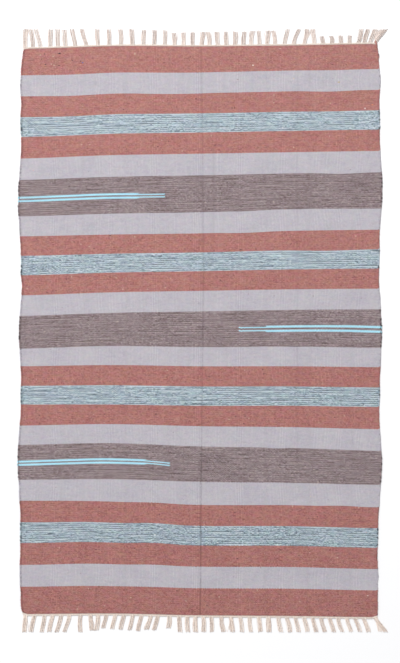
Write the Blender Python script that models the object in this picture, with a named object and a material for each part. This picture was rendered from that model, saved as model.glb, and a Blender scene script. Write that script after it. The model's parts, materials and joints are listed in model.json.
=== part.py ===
"""A flat-woven kilim rug of 1.2 x 2.0 m with a fringe at each end, lying on the floor.

Units are metres. +X runs across the weaving, +Y along the warps and +Z up from the floor.
The rug is three solids: the cloth, and at each end a heading cord whose warp ends hang out
in tassels. The weaving is described by places across it, from -1 at the left selvedge to 1
at the right one, and by places along the warp. Two small tables say how hand weaving and
packing have pulled those places out of square.
"""

import math
import random
from collections import namedtuple

import bmesh
import bpy

MM = 0.001

# The cloth.
CLOTH_HIGH = 4.0 * MM
EDGE_ROUND = 1.2 * MM  # how far the top is drawn in from the selvedge
FOOT_ROUND = 0.6 * MM  # and the face that lies on the floor
PULL_IN = 30 * MM  # a stripe's width passes into its neighbour's over twice this
END_TAPER, END_TAPER_LONG = 6 * MM, 45 * MM
CORNER = 0.03  # share of the half width over which an end line bends back
CORNER_BEND = {1: 3 * MM, -1: 6 * MM}

# A heading cord, and the tassels that hang out of it.
PART_GAP = 0.3 * MM
HEADING = (  # a section of the cord: distance from the cloth, and height
    (0.0, 0.0),
    (0.0, 2.8 * MM),
    (1.4 * MM, 4.8 * MM),
    (4.4 * MM, 4.8 * MM),
    (6.2 * MM, 3.6 * MM),
    (6.2 * MM, 0.0),
)
REACH = 1.001  # from the middle of the rug to the line where the tassels are trimmed
STRANDS = 3
STRAND_WIDE, STRAND_PITCH = 3.4 * MM, 4.1 * MM
STRAND_CROWN = 2.1 * MM  # width of a strand's top
SHOULDER_HIGH, STRAND_TIP_HIGH = HEADING[-2][1], 3.0 * MM
STRAND_STEPS = 4
TASSEL_GAP = 1.5 * MM
TIP_UNEVEN = 2.5 * MM

# Each yarn beats up to its own width, so the selvedges run in and out with the stripes.
Yarn = namedtuple("Yarn", "half_width colour")
YARNS = {
    "rust": Yarn(594.5 * MM, (0.42, 0.19, 0.17)),
    "lilac": Yarn(599.5 * MM, (0.52, 0.49, 0.53)),
    "blue": Yarn(595.5 * MM, (0.38, 0.45, 0.51)),
    "taupe": Yarn(604.0 * MM, (0.28, 0.22, 0.23)),
}
COTTON = (0.75, 0.61, 0.52)

Stripe = namedtuple("Stripe", "yarn long")
STRIPES = [  # from the far end to the near one, in mm
    Stripe(yarn, long * MM)
    for yarn, long in (
        ("rust", 86), ("lilac", 69), ("rust", 68), ("blue", 64), ("rust", 71),
        ("lilac", 71), ("taupe", 121), ("lilac", 70), ("rust", 64), ("blue", 63),
        ("rust", 66), ("lilac", 68), ("taupe", 117), ("lilac", 63), ("rust", 67),
        ("blue", 64), ("rust", 69), ("lilac", 67), ("taupe", 117), ("lilac", 73),
        ("rust", 70), ("blue", 66), ("rust", 71), ("lilac", 72), ("rust", 90),
    )
]  # fmt: skip
HALF_LONG = sum(stripe.long for stripe in STRIPES) / 2

# How far a line of weft lies above level at five even places across it, how far the whole
# line has drifted to the right, and how much the cloth is stretched past its half width
# there, in mm.
Lie = namedtuple("Lie", "along left left_mid middle right_mid right drift stretch")
LIES = [
    Lie(*(value * MM for value in row))
    for row in (
        (944, -9, 0, -1, 2, 7, 0.5, -1),
        (856, -11, -2, -1, 5, 10, 0, -0.5),
        (585, -15, -4, 1, 6, 10, 0.5, 1),
        (392, -15, -6, -1, 9, 11, -1, 1),
        (330, -11, -5, -1, 7, 11, -2, 1),
        (130, -14, -4, 1, 6, 8, 0.5, -2),
        (62, -14, -4, 1, 6, 8, 0.5, -2),
        (-55, -6, 3, -1, 1, -3, 0, -1),
        (-118, -1, 3, -1, -1, -4, 0.5, 1),
        (-249, 3, 3, -1, -1, -5, -0.5, 1),
        (-318, 2, 7, 0, -3, -10, -2, 1.5),
        (-385, 5, 11, 0, -5, -15, -2, 2),
        (-502, 6, 8, -1, -4, -11, -2, 0.5),
        (-575, 10, 7, -4, -5, -12, -3, 0),
        (-781, 4, 6, -2, -3, -10, -5.5, -2),
        (-944, 3, 5, -1, -3, -7, -2.5, 0),
    )
]

# Lines where the rug was folded while packed, and swells that its own slack makes, in mm
# on the floor. A negative height is a dent.
Fold = namedtuple("Fold", "from_x from_y to_x to_y half_wide high")
FOLDS = [
    Fold(*(value * MM for value in row))
    for row in (
        (3, -960, 3, 960, 8, -0.9),
        (45, 300, 45, 600, 10, -0.5),
        (322, -960, 322, 960, 12, -0.4),
        (-125, -350, -65, -500, 26, 1.4),
        (205, 470, 300, 500, 24, 1.2),
        (300, 500, 415, 468, 24, 1.2),
        (83, 273, 332, 350, 30, 0.7),
        (166, -577, 332, -502, 30, 0.7),
        (133, -148, 498, -66, 34, 0.6),
        (-581, -98, -481, -66, 30, 0.7),
    )
]

# The tassels, in runs that hang alike. Places and leans are in mm along the heading, to
# the right, and short is how far the tips fall behind the line where they are trimmed.
Run = namedtuple("Run", "tassels first last lean_first lean_last short_first short_last")
RUNS = {
    1: (
        Run(3, -581, -531, 0, -15, 0, 0),
        Run(3, -498, -448, 2, -4, 0, 2),
        Run(2, -415, -378, -11, -15, 0, 0),
        Run(4, -340, -226, -2, -2, 0, 0),
        Run(3, -189, -118, 2, 1, 2, 4),
        Run(4, -86, 4, -3, 3, 12, 9),
        Run(5, 30, 143, -6, 3, 9, 8),
        Run(2, 169, 196, 4, -3, 5, 5),
        Run(2, 221, 248, 4, -6, 5, 5),
        Run(2, 279, 310, 11, 17, 0, 0),
        Run(2, 345, 378, 8, -5, 0, 0),
        Run(4, 407, 495, -4, 1, 23, 20),
        Run(3, 525, 564, 9, 15, 0, 0),
        Run(1, 581, 581, 34, 34, 0, 0),
    ),
    -1: (
        Run(2, -580, -551, -5, -11, 0, 0),
        Run(4, -518, -435, -9, -17, 0, 0),
        Run(1, -398, -398, 0, 0, 0, 0),
        Run(2, -365, -340, 5, -6, 5, 5),
        Run(5, -312, -196, -10, -11, 13, 3),
        Run(2, -165, -142, -14, -12, 8, 6),
        Run(1, -103, -103, -3, -3, 12, 12),
        Run(5, -70, 37, 3, 1, 0, 0),
        Run(6, 70, 226, 7, 3, 0, 0),
        Run(11, 259, 543, 9, 16, 0, 0),
        Run(1, 581, 581, 35, 35, 0, 0),
    ),
}


def mixed(low, high, share):
    """The value between two others, leaving one and reaching the other gently."""
    share = min(max(share, 0.0), 1.0)
    return low + (high - low) * share * share * (3 - 2 * share)


def lie_at(along):
    """How the line of weft at this place along the warp lies."""
    for above, below in zip(LIES, LIES[1:]):
        if along >= below.along:
            break
    share = (above.along - along) / (above.along - below.along)
    return Lie(*(mixed(high, low, share) for high, low in zip(above, below)))


def rise_across(lie, across):
    """How far a line of weft lies above level at one place across it."""
    rises = lie[1:6]
    place = min(max((across + 1) * 2, 0.0), 3.999)
    left = int(place)
    before, start, stop, after = (rises[min(max(left + k, 0), 4)] for k in (-1, 0, 1, 2))
    share = place - left
    slope = (stop - before) / 2
    bend = before - 2.5 * start + 2 * stop - after / 2
    twist = 1.5 * (start - stop) + (after - before) / 2
    return start + share * (slope + share * (bend + share * twist))


def stripe_lines():
    """Each place along the warp where one stripe ends or the next starts."""
    lines = [HALF_LONG]
    for stripe in STRIPES:
        lines.append(lines[-1] - stripe.long)
    return lines


def half_width(along):
    """Half the cloth's width, which follows the yarns of the stripes close by."""
    reach = shares = 0.0
    top = HALF_LONG
    for stripe in STRIPES:
        bottom = top - stripe.long
        share = max(0.0, min(top, along + PULL_IN) - max(bottom, along - PULL_IN))
        reach += share * YARNS[stripe.yarn].half_width
        shares += share
        top = bottom
    from_end = max(0.0, 1 - (HALF_LONG - abs(along)) / END_TAPER_LONG)
    return reach / shares + lie_at(along).stretch - END_TAPER * from_end**2


def floor_place(across, along, inset=0.0):
    """Where a place in the weaving lies on the floor, drawn in from the outline by inset."""
    end = math.copysign(1, along)
    lie = lie_at(along)
    x = lie.drift + across * (half_width(along) - inset)
    y = along + rise_across(lie, across) - end * inset * (abs(along) > HALF_LONG - MM)
    past = max(0.0, (abs(across) - (1 - CORNER)) / CORNER)
    near_end = max(0.0, 1 - (HALF_LONG - abs(along)) / (CORNER * half_width(along)))
    return x, y - end * CORNER_BEND[end] * past * near_end


def fold_height(x, y):
    """How far the old folds and swells raise or dent the cloth at a place on the floor."""
    highs = [0.0]
    for fold in FOLDS:
        run_x, run_y = fold.to_x - fold.from_x, fold.to_y - fold.from_y
        share = (x - fold.from_x) * run_x + (y - fold.from_y) * run_y
        share = min(max(share / (run_x**2 + run_y**2), 0.0), 1.0)
        off = math.hypot(x - fold.from_x - share * run_x, y - fold.from_y - share * run_y)
        highs.append(fold.high * mixed(1.0, 0.0, off / (2 * fold.half_wide)))
    return max(highs) + min(highs)


def new_object(name, rug, mesh, colours):
    """Make the finished mesh an object on the rug, with one Principled material a colour."""
    mesh.name = name
    made = bpy.data.objects.new(name, mesh)
    bpy.context.scene.collection.objects.link(made)
    made.parent = rug
    for label, colour in colours.items():
        material = bpy.data.materials.new(f"{name}_{label}")
        material.use_nodes = True
        shader = material.node_tree.nodes["Principled BSDF"]
        shader.inputs["Base Color"].default_value = (*colour, 1.0)
        shader.inputs["Roughness"].default_value = 0.95
        shader.inputs["Metallic"].default_value = 0.0
        mesh.materials.append(material)
    return made


def columns_across():
    """Places across the cloth: even steps, the bent corners, and three for a fold along it."""
    width = YARNS["rust"].half_width
    places = [step / 10 for step in range(-10, 11)] + [CORNER - 1, 1 - CORNER]
    for fold in FOLDS:
        if fold.from_x == fold.to_x:
            creases = [(fold.from_x + k * fold.half_wide) / width for k in (-2, 0, 2)]
            room = 3 * fold.half_wide / width
            places = [p for p in places if abs(p - creases[1]) > room] + creases
    return sorted(places)


def rows_along():
    """Places along the cloth, two to a narrow stripe and four to a wide one, with yarns."""
    places, yarns = [HALF_LONG], []
    for stripe, top in zip(STRIPES, stripe_lines()):
        parts = max(2, round(stripe.long / (30 * MM)))
        places += [top - stripe.long * (k + 1) / parts for k in range(parts)]
        yarns += [stripe.yarn] * parts
    places[-1] = -HALF_LONG
    return places, yarns


def weave_cloth(rug):
    """The cloth: a soft, creased top, rounded selvedges and ends, and a flat foot."""
    columns = columns_across()
    rows, yarns = rows_along()
    slots = list(YARNS)
    bm = bmesh.new()
    grid = []
    for along in rows:
        line = []
        for across in columns:
            x, y = floor_place(across, along, EDGE_ROUND)
            line.append(bm.verts.new((x, y, CLOTH_HIGH + fold_height(x, y))))
        grid.append(line)
    for r, yarn in enumerate(yarns):
        for c in range(len(columns) - 1):
            corners = grid[r + 1][c], grid[r + 1][c + 1], grid[r][c + 1], grid[r][c]
            bm.faces.new(corners).material_index = slots.index(yarn)

    last_row, last_column = len(rows) - 1, len(columns) - 1
    rim = [(0, c) for c in range(last_column)]
    rim += [(r, last_column) for r in range(last_row)]
    rim += [(last_row, c) for c in range(last_column, 0, -1)]
    rim += [(r, 0) for r in range(last_row, 0, -1)]
    upper = [grid[r][c] for r, c in rim]
    for inset, high in ((0.0, CLOTH_HIGH / 2), (FOOT_ROUND, 0.0)):
        lower = []
        for r, c in rim:
            lower.append(bm.verts.new((*floor_place(columns[c], rows[r], inset), high)))
        for k, (r, _) in enumerate(rim):
            after = (k + 1) % len(rim)
            side = bm.faces.new((upper[k], upper[after], lower[after], lower[k]))
            side.material_index = slots.index(yarns[min(r, last_row - 1)])
        upper = lower
    bm.faces.new(upper)
    bmesh.ops.recalc_face_normals(bm, faces=bm.faces)

    mesh = bpy.data.meshes.new("cloth")
    bm.to_mesh(mesh)
    bm.free()
    mesh.shade_smooth()
    mesh.set_sharp_from_angle(angle=math.radians(40))
    return new_object("kilim_cloth", rug, mesh, {y: YARNS[y].colour for y in slots})


def steps_between(first, last, count):
    """Even steps from the first value to the last."""
    return [first + (last - first) * k / max(1, count - 1) for k in range(count)]


Tassel = namedtuple("Tassel", "root lean short bow spread")


def hang_tassels(end, chance):
    """Each tassel of one end in its place, none leaning into the one before it."""
    tassels, limit = [], -math.inf
    wide = (STRANDS - 1) * STRAND_PITCH + STRAND_WIDE
    for run in RUNS[end]:
        roots = steps_between(run.first, run.last, run.tassels)
        leans = steps_between(run.lean_first, run.lean_last, run.tassels)
        shorts = steps_between(run.short_first, run.short_last, run.tassels)
        for root, lean, short in zip(roots, leans, shorts):
            spread = chance.uniform(0.2, 0.9) * MM
            bow = chance.uniform(-2, 2) * MM
            tip_half = wide / 2 + spread
            tip = max(root * MM + lean * MM, limit + TASSEL_GAP + tip_half)
            limit = tip + tip_half
            tassels.append(Tassel(root * MM, tip - root * MM, short * MM, bow, spread))
    return tassels


def heading_sections(bm, tassels, end):
    """Sections of the heading cord at its ends, its bends and halfway between tassels."""
    along = end * HALF_LONG
    width, drift = half_width(along), lie_at(along).drift
    middles = [(a.root + b.root) / 2 for a, b in zip(tassels[1:-2], tassels[2:-1])]
    bends = [drift + side * width for side in (-1, CORNER - 1, 1 - CORNER, 1)]
    sections = []
    for x in (*bends[:2], *middles, *bends[2:]):
        _, y = floor_place((x - drift) / width, along)
        places = [(x, y + end * (PART_GAP + out), high) for out, high in HEADING]
        sections.append([bm.verts.new(place) for place in places])
    return sections


def cut_wall(bm, tassel, left, right):
    """Edges up the heading's outer wall between two sections, two for each strand."""
    edges = [(left[-1], left[-2])]
    run = right[-1].co - left[-1].co
    for strand in range(STRANDS):
        middle = tassel.root + (strand - (STRANDS - 1) / 2) * STRAND_PITCH
        for x in (middle - STRAND_WIDE / 2, middle + STRAND_WIDE / 2):
            y = left[-1].co.y + run.y * (x - left[-1].co.x) / run.x
            edges.append((bm.verts.new((x, y, 0.0)), bm.verts.new((x, y, SHOULDER_HIGH))))
    return [*edges, (right[-1], right[-2])]


def draw_strand(bm, face, tassel, strand, root_y, tip_y, short):
    """Draw a face of the heading out into a strand, which lies flat on the floor."""
    corners = face.calc_center_median()
    start_x, start_y, end_y = corners.x, corners.y, tip_y - short
    for step in range(1, STRAND_STEPS + 1):
        share = step / STRAND_STEPS
        y = start_y + (end_y - start_y) * share
        drop = (y - root_y) / (tip_y - root_y)
        aside = tassel.lean * (0.6 * drop + mixed(0, 0.4, drop))
        x = start_x + aside + tassel.bow * math.sin(math.pi * drop)
        x += strand * tassel.spread * drop
        foot, crown = STRAND_WIDE / 2, STRAND_CROWN / 2
        high = SHOULDER_HIGH + (STRAND_TIP_HIGH - SHOULDER_HIGH) * share
        places = (x - foot, 0), (x + foot, 0), (x + crown, high), (x - crown, high)
        face = bmesh.ops.extrude_discrete_faces(bm, faces=[face])["faces"][0]
        for corner, (corner_x, corner_high) in zip(face.verts, places):
            corner.co = corner_x, y, corner_high


def knot_fringe(name, end, rug):
    """A heading cord along one end of the cloth, and its tassels drawn out of it."""
    chance = random.Random(40 + end)
    bm = bmesh.new()
    tassels = hang_tassels(end, chance)
    sections = heading_sections(bm, tassels, end)
    for tassel, left, right in zip(tassels, sections, sections[1:]):
        for k in range(len(HEADING) - 3):
            bm.faces.new((left[k], right[k], right[k + 1], left[k + 1]))
        edges = cut_wall(bm, tassel, left, right)
        feet, shoulders = zip(*edges)
        bm.faces.new((left[-3], *shoulders, right[-3]))
        bm.faces.new((left[0], *feet, right[0]))

        walls = []
        for (foot_a, top_a), (foot_b, top_b) in zip(edges, edges[1:]):
            walls.append(bm.faces.new((foot_a, foot_b, top_b, top_a)))
        root_y = sum(foot.co.y for foot in feet) / len(feet)
        tip_y = end * (REACH - tassel.short)
        for number, wall in enumerate(walls[1::2]):
            strand = number - (STRANDS - 1) / 2
            short = end * chance.uniform(0, TIP_UNEVEN)
            draw_strand(bm, wall, tassel, strand, root_y, tip_y, short)
    bm.faces.new(sections[0])
    bm.faces.new(sections[-1])
    bmesh.ops.recalc_face_normals(bm, faces=bm.faces)

    mesh = bpy.data.meshes.new("fringe")
    bm.to_mesh(mesh)
    bm.free()
    mesh.shade_smooth()
    mesh.set_sharp_from_angle(angle=math.radians(50))
    return new_object(name, rug, mesh, {"cotton": COTTON})


def lay_rug():
    """Model the whole rug, with the middle of its bounding box over the origin."""
    for old in list(bpy.data.objects):
        bpy.data.objects.remove(old, do_unlink=True)
    rug = bpy.data.objects.new("kilim_rug", None)
    bpy.context.scene.collection.objects.link(rug)
    pieces = [
        weave_cloth(rug),
        knot_fringe("fringe_far", 1, rug),
        knot_fringe("fringe_near", -1, rug),
    ]
    places = [vertex.co for piece in pieces for vertex in piece.data.vertices]
    xs, ys = [place.x for place in places], [place.y for place in places]
    rug.location = (-(min(xs) + max(xs)) / 2, -(min(ys) + max(ys)) / 2, 0.0)


lay_rug()
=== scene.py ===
"""The looks of a flat-woven kilim rug of 1.2 x 2.0 m, lying on the floor.

Units are metres. +X runs across the weaving, +Y along the warps and +Z up from the floor.
A place in the weaving is counted as a weaver counts it: in ribs from the left selvedge, one
for each warp that the weft covers, and in rows from the near end, one for each pair of
picks. Each piece is modelled once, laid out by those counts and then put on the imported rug.
"""

import json
import math
import random
from collections import namedtuple

import bmesh
import bpy
import numpy as np
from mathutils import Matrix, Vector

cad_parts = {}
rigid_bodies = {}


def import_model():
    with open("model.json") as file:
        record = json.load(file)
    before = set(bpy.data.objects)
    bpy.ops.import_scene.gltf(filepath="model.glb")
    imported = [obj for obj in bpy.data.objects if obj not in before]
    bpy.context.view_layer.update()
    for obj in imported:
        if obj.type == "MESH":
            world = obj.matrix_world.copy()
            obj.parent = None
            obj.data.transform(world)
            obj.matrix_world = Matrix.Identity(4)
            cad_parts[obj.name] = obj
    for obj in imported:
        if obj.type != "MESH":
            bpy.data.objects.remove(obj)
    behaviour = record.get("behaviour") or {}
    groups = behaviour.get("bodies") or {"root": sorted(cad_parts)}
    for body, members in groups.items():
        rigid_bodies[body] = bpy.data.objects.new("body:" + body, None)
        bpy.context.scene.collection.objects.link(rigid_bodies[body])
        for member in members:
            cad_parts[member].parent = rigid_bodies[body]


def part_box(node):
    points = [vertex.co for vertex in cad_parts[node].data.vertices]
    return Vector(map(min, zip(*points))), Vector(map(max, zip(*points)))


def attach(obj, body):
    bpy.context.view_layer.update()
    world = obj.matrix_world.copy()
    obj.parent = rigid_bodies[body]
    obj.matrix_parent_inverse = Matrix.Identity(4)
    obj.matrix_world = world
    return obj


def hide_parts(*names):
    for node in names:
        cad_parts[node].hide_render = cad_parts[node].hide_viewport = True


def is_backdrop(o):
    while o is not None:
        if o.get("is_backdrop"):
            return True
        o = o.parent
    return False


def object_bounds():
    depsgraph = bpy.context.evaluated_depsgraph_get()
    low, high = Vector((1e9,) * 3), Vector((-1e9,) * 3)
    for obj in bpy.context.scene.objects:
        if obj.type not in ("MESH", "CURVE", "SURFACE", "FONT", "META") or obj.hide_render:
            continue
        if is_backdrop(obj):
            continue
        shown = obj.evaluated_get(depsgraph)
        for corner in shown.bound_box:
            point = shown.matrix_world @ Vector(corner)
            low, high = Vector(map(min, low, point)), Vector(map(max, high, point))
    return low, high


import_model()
cad_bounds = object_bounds()


# The cloth. Cotton wefts are beaten down over hidden warps, so it is all ribs and rows of
# small beads, in 25 cross stripes of four yarns. Hand weaving and packing have pulled the
# stripes out of square and left creases where it was folded.
MM = 0.001
RIBS = 300
ROW = 3.3 * MM
CLOTH_HIGH = 4.0 * MM
RIB_HIGH = 0.4 * MM
ROWS_A_STEP = 4  # rows of beads to one row of the mesh
PULL_IN = 30 * MM  # a stripe's width passes into its neighbour's over twice this
END_TAPER, END_TAPER_LONG = 6 * MM, 45 * MM  # how far each side draws in at the ends, from where
CORNER = 0.03  # share of the half width over which an end line bends back
CORNER_BEND_FAR, CORNER_BEND_NEAR = 3 * MM, 6 * MM
EDGE_IN = 1.4 * MM  # the selvedge loops stand this far past the cloth they wrap

# Dark, middling and pale are the colours that one yarn is blended from. A streak of one
# colour is as many ribs long as streak says, and the shares after it say how strongly the
# colour changes from streak to streak, row to row, bead to bead, rib to rib, slowly, from
# the near end to the far one, where it grows paler, and in hue where the dye took badly.
# Flecks are the share of the beads that are another fibre, with its two colours.
Yarn = namedtuple(
    "Yarn",
    "half_width rise dark middling pale streak streaky lined beady ribby drifty faded dyed"
    " flecks fleck_dark fleck_pale",
)
YARNS = {
    "rust": Yarn(
        594.5 * MM, 0.0, (0.249, 0.086, 0.080), (0.396, 0.172, 0.157), (0.50, 0.245, 0.205),
        5.0, 0.28, 0.42, 0.8, 0.1, 0.25, 0.13, 0.38,
        0.002, (0.10, 0.045, 0.05), (0.58, 0.42, 0.33),
    ),
    "lilac": Yarn(
        599.5 * MM, -0.2 * MM, (0.42, 0.40, 0.45), (0.475, 0.447, 0.493), (0.52, 0.49, 0.522),
        8.0, 0.8, 0.2, 0.9, 0.18, 0.9, 0.0, 0.15,
        0.0004, (0.3, 0.24, 0.25), (0.60, 0.52, 0.36),
    ),
    "blue": Yarn(
        595.5 * MM, 0.2 * MM, (0.11, 0.145, 0.175), (0.345, 0.425, 0.48), (0.60, 0.68, 0.73),
        28.0, 0.45, 1.35, 0.85, 0.1, 0.1, 0.09, 0.22,
        0.003, (0.08, 0.09, 0.11), (0.72, 0.75, 0.76),
    ),
    "taupe": Yarn(
        604.0 * MM, 0.1 * MM, (0.13, 0.09, 0.094), (0.250, 0.194, 0.203), (0.39, 0.32, 0.325),
        24.0, 0.48, 1.0, 0.8, 0.15, 0.4, 0.0, 0.16,
        0.002, (0.09, 0.06, 0.065), (0.5, 0.4, 0.36),
    ),
}  # fmt: skip

Stripe = namedtuple("Stripe", "yarn long")
STRIPES = [  # from the far end to the near one, in mm
    Stripe(yarn, long * MM)
    for yarn, long in (
        ("rust", 86), ("lilac", 69), ("rust", 68), ("blue", 64), ("rust", 71),
        ("lilac", 71), ("taupe", 121), ("lilac", 70), ("rust", 64), ("blue", 63),
        ("rust", 66), ("lilac", 68), ("taupe", 117), ("lilac", 63), ("rust", 67),
        ("blue", 64), ("rust", 69), ("lilac", 67), ("taupe", 117), ("lilac", 73),
        ("rust", 70), ("blue", 66), ("rust", 71), ("lilac", 72), ("rust", 90),
    )
]  # fmt: skip
STRIPES.reverse()  # rows are counted from the near end
HALF_LONG = sum(stripe.long for stripe in STRIPES) / 2
STRIPE_LINES = np.cumsum([-HALF_LONG] + [stripe.long for stripe in STRIPES])
STRIPE_ROWS = np.cumsum([0] + [round(stripe.long / ROW) for stripe in STRIPES])
SWEPT = np.cumsum([0] + [stripe.long * YARNS[stripe.yarn].half_width for stripe in STRIPES])

# How far a line of weft lies above level at five even places across it, how far the whole
# line has drifted to the right, and how much the cloth is stretched past its half width
# there, in mm: along, left, left_mid, middle, right_mid, right, drift, stretch.
LIES = MM * np.array((
    (944, -9, 0, -1, 2, 7, 0.5, -1),
    (856, -11, -2, -1, 5, 10, 0, -0.5),
    (585, -15, -4, 1, 6, 10, 0.5, 1),
    (392, -15, -6, -1, 9, 11, -1, 1),
    (330, -11, -5, -1, 7, 11, -2, 1),
    (130, -14, -4, 1, 6, 8, 0.5, -2),
    (62, -14, -4, 1, 6, 8, 0.5, -2),
    (-55, -6, 3, -1, 1, -3, 0, -1),
    (-118, -1, 3, -1, -1, -4, 0.5, 1),
    (-249, 3, 3, -1, -1, -5, -0.5, 1),
    (-318, 2, 7, 0, -3, -10, -2, 1.5),
    (-385, 5, 11, 0, -5, -15, -2, 2),
    (-502, 6, 8, -1, -4, -11, -2, 0.5),
    (-575, 10, 7, -4, -5, -12, -3, 0),
    (-781, 4, 6, -2, -3, -10, -5.5, -2),
    (-944, 3, 5, -1, -3, -7, -2.5, 0),
))  # fmt: skip
DRIFT, STRETCH = 6, 7  # their columns

# Where the lines of weft were dragged along the warps in use, in mm: across, along,
# half_wide, half_long, lift.
DRAGS = MM * np.array((
    (-150, -680, 115, 230, 4.0), (-390, -720, 150, 220, 2.2), (-420, 790, 170, 200, -3.4),
    (-100, 800, 180, 90, -2.6), (150, 355, 120, 75, -4.0), (470, 515, 110, 55, -3.6),
    (420, 262, 170, 45, -3.4), (430, 790, 130, 130, -3.2), (252, -383, 60, 50, -2.4),
    (470, -573, 90, 40, 2.5),
))  # fmt: skip

# Old folds and slack swells, in mm on the floor, and how much painted shade darkens a fold's
# crease, in thousandths: from_x, from_y, to_x, to_y, half_wide, high, shade_depth.
FOLDS = MM * np.array((
    (0, -960, 3, -430, 8, -1.2, 360),
    (3, -430, 11, 170, 8, -1.2, 210),
    (11, 170, 4, 960, 8, -1.2, 190),
    (44, 300, 44, 600, 14, -0.6, 100),
    (322, -400, 322, 960, 12, -0.5, 80),
    (-125, -350, -65, -500, 26, 1.4, 0),
    (205, 470, 300, 500, 24, 1.2, 0),
    (300, 500, 415, 468, 24, 1.2, 0),
    (83, 273, 332, 350, 30, 0.7, 0),
    (166, -577, 332, -502, 30, 0.7, 0),
    (133, -148, 498, -66, 34, 0.6, 0),
    (-581, -98, -481, -66, 30, 0.7, 0),
))  # fmt: skip
SHADE_WIDE = 0.6  # of a fold's half width, where its painted shade lies

# Where a selvedge was drawn in or left slack, in mm: side, along, half_long, out.
EDGE_SWELLS = (
    (-1, 918, 20, -1.8), (-1, 880, 25, 1.5), (-1, 717, 50, 3.2), (-1, 455, 30, -2.4),
    (-1, 196, 32, 2.2), (-1, 83, 60, 0.8), (-1, -405, 80, -1.1), (-1, -574, 55, 1.2),
    (-1, -820, 45, -3.0), (-1, -871, 32, -1.6), (1, 925, 20, -1.9), (1, 901, 16, 1.4),
    (1, 883, 70, -1.6), (1, 564, 40, -1.2), (1, 266, 60, 1.7), (1, 133, 40, -1.2),
    (1, 40, 50, -1.8), (1, -252, 35, -1.3), (1, -498, 85, -1.5), (1, -757, 35, 1.3),
    (1, -828, 22, -2.4), (1, -857, 65, -1.9), (1, -905, 30, -1.1), (1, -944, 16, 3.6),
)  # fmt: skip
SWELL_FADE = 8  # the power of the place across by which a swell fades inwards


def eased(share):
    """A share of the way, leaving the start and reaching the end gently."""
    share = np.clip(share, 0, 1)
    return share * share * (3 - 2 * share)


def lie_at(along):
    """The columns of LIES at places along the warp."""
    row = np.clip(np.searchsorted(-LIES[:, 0], -along) - 1, 0, len(LIES) - 2)
    above, below = LIES[row], LIES[row + 1]
    share = (above[..., 0] - along) / (above[..., 0] - below[..., 0])
    return above + (below - above) * eased(share)[..., None]


def rise_across(lie, across):
    """How far a line of weft lies above level at places across it."""
    place = np.clip((across + 1) * 2, 0, 3.999)
    left = place.astype(int)
    columns = [np.clip(left + k, 0, 4)[..., None] + 1 for k in (-1, 0, 1, 2)]
    before, start, stop, after = (
        np.take_along_axis(lie, column, -1)[..., 0] for column in columns
    )
    share = place - left
    slope = (stop - before) / 2
    bend = before - 2.5 * start + 2 * stop - after / 2
    twist = 1.5 * (start - stop) + (after - before) / 2
    return start + share * (slope + share * (bend + share * twist))


def half_width(along):
    """Half the cloth's width, which follows the yarns of the stripes close by."""
    top = np.minimum(along + PULL_IN, HALF_LONG)
    bottom = np.maximum(along - PULL_IN, -HALF_LONG)
    swept = np.interp(top, STRIPE_LINES, SWEPT) - np.interp(bottom, STRIPE_LINES, SWEPT)
    from_end = np.maximum(0, 1 - (HALF_LONG - abs(along)) / END_TAPER_LONG)
    return swept / (top - bottom) + lie_at(along)[..., STRETCH] - END_TAPER * from_end**2


def floor_place(across, along):
    """Where places in the weaving lie on the floor, from -1 to 1 across it and along it."""
    across, along = np.broadcast_arrays(np.asarray(across, float), np.asarray(along, float))
    lie, wide = lie_at(along), half_width(along)
    bend = np.where(along > 0, CORNER_BEND_FAR, -CORNER_BEND_NEAR)
    past = np.maximum(0, (abs(across) - (1 - CORNER)) / CORNER)
    near_end = np.maximum(0, 1 - (HALF_LONG - abs(along)) / (CORNER * wide))
    x = lie[..., DRIFT] + across * wide
    dragged = 0 * along
    for middle_x, middle, half_wide, half_long, lift in DRAGS:
        beside = 1 - eased(abs(x - middle_x) / half_wide)
        dragged += lift * beside * (1 - eased(abs(along - middle) / half_long))
    return x, along + rise_across(lie, across) + dragged - bend * past * near_end


# Warps are never quite evenly spaced: how many ribs they crowd to one side, over how many.
CROWDED = (0.9, 37.0, 0.4), (0.5, 17.0, 2.1), (0.3, 9.0, 4.0)
EVEN_RIBS = 20  # beside a selvedge, over which the crowding dies away


def across_at(ribs):
    """The place across the cloth, from -1 to 1, of places counted in ribs."""
    crowded = sum(shift * np.sin(math.tau * ribs / wave + start) for shift, wave, start in CROWDED)
    from_edge = np.minimum(ribs, RIBS - ribs)
    return (ribs + crowded * np.clip(from_edge / EVEN_RIBS, 0, 1)) * 2 / RIBS - 1


def woven_place(ribs, rows):
    """Where places counted in ribs and rows lie on the floor."""
    across, along = across_at(ribs), np.interp(rows, STRIPE_ROWS, STRIPE_LINES)
    x, y = floor_place(across, along)
    for side, middle, half_long, out in EDGE_SWELLS:
        near = 1 - eased(abs(along - middle * MM) / (half_long * MM))
        x = x + side * out * MM * near * np.clip(side * across, 0, 1) ** SWELL_FADE
    return x, y


def fold_marks(x, y):
    """How far folds and swells raise or dent places on the floor, and how much painted shade
    darkens their creases.
    """
    up, down, crease_shade = np.zeros_like(x), np.zeros_like(x), np.zeros_like(x)
    for from_x, from_y, to_x, to_y, half_wide, high, shade_depth in FOLDS:
        run_x, run_y = to_x - from_x, to_y - from_y
        share = ((x - from_x) * run_x + (y - from_y) * run_y) / (run_x**2 + run_y**2)
        share = np.clip(share, 0, 1)
        off = np.hypot(x - from_x - share * run_x, y - from_y - share * run_y)
        bump = high * (1 - eased(off / (2 * half_wide)))
        up, down = np.maximum(up, bump), np.minimum(down, bump)
        crease_shade = np.maximum(crease_shade, shade_depth * (1 - eased(off / (half_wide * SHADE_WIDE))))
    return up + down, crease_shade


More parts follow.
